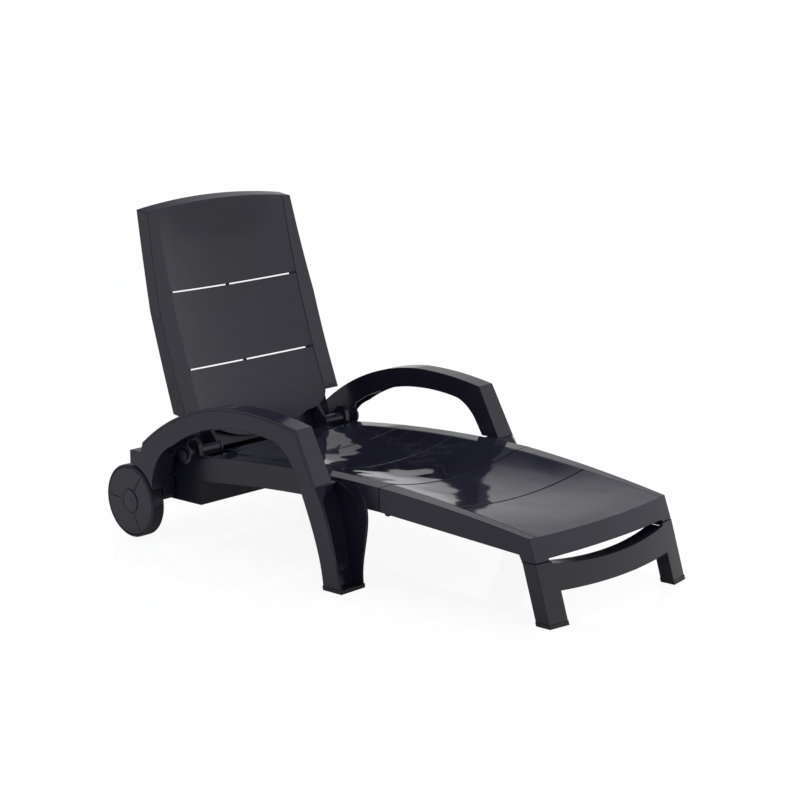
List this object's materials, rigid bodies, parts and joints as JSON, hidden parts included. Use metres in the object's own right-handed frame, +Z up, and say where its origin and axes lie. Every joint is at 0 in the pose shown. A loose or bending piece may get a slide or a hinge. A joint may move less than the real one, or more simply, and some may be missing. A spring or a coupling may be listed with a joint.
{
  "type": "reclining sun lounger",
  "caption": "Moulded garden sun lounger with reclining back on a prop, folding leg rest, arched arms and transport wheels at the head end.",
  "frame": {"origin": "on the ground, under the middle of the lounger's whole length and width, with the back as stored upright", "axes": "+Z up, +Y toward the head end, +X toward the sitter's left; the lounger stands on z = 0"},
  "size_m": [0.737, 1.489, 0.8821],
  "materials": {
    "resin": "satin moulded anthracite resin, polished lying surfaces",
    "wheel_resin": "satin moulded resin",
    "coated_steel": "dark powder coat",
    "steel": "zinc-plated",
    "foot_cap": "matt"
  },
  "bodies": {
    "frame": {"seat_shell": "resin", "left_arm": "resin", "right_arm": "resin", "arm_foot_caps": "foot_cap", "rear_box": "resin", "left_prop_guide": "resin", "right_prop_guide": "resin", "axle": "steel", "axle_washers": "steel", "left_back_hinge_pin": "steel", "right_back_hinge_pin": "steel", "left_hinge_collar": "resin", "right_hinge_collar": "resin", "leg_rest_pins": "steel", "arm_screws": "steel", "box_screws": "steel", "guide_screws": "steel"},
    "backrest": {"backrest_shell": "resin", "prop_pins": "steel"},
    "prop": {"prop_bail": "coated_steel"},
    "leg_rest": {"leg_rest_shell": "resin", "leg_frame_pins": "steel"},
    "leg_frame": {"front_leg_frame": "resin", "leg_frame_foot_caps": "foot_cap"},
    "left_wheel_body": {"left_wheel": "wheel_resin", "left_wheel_disc": "wheel_resin", "left_hub_cap": "wheel_resin"},
    "right_wheel_body": {"right_wheel": "wheel_resin", "right_wheel_disc": "wheel_resin", "right_hub_cap": "wheel_resin"}
  },
  "joints": [
    {"name": "back_recline", "type": "hinge", "parent": "frame", "child": "backrest", "pos_m": [0, 0.4775, 0.24], "axis": [-1, 0, 0], "range_deg": [0, 68]},
    {"name": "prop_swing", "type": "hinge", "parent": "backrest", "child": "prop", "pos_m": [0, 0.58295, 0.39281], "axis": [-1, 0, 0], "range_deg": [0, 10]},
    {"name": "leg_rest_fold", "type": "hinge", "parent": "frame", "child": "leg_rest", "pos_m": [0, -0.2155, 0.183], "axis": [1, 0, 0], "range_deg": [0, 165]},
    {"name": "leg_frame_fold", "type": "hinge", "parent": "leg_rest", "child": "leg_frame", "pos_m": [0, -0.6425, 0.14], "axis": [1, 0, 0], "range_deg": [0, 108]},
    {"name": "left_wheel_spin", "type": "hinge", "parent": "frame", "child": "left_wheel_body", "pos_m": [0.3455, 0.6455, 0.099], "axis": [1, 0, 0], "continuous": true},
    {"name": "right_wheel_spin", "type": "hinge", "parent": "frame", "child": "right_wheel_body", "pos_m": [-0.3455, 0.6455, 0.099], "axis": [1, 0, 0], "continuous": true}
  ],
  "couplings": [
    {"joint": "prop_swing", "follows": "back_recline", "ratio": 0.14706},
    {"joint": "leg_frame_fold", "follows": "leg_rest_fold", "ratio": 0.65455}
  ]
}
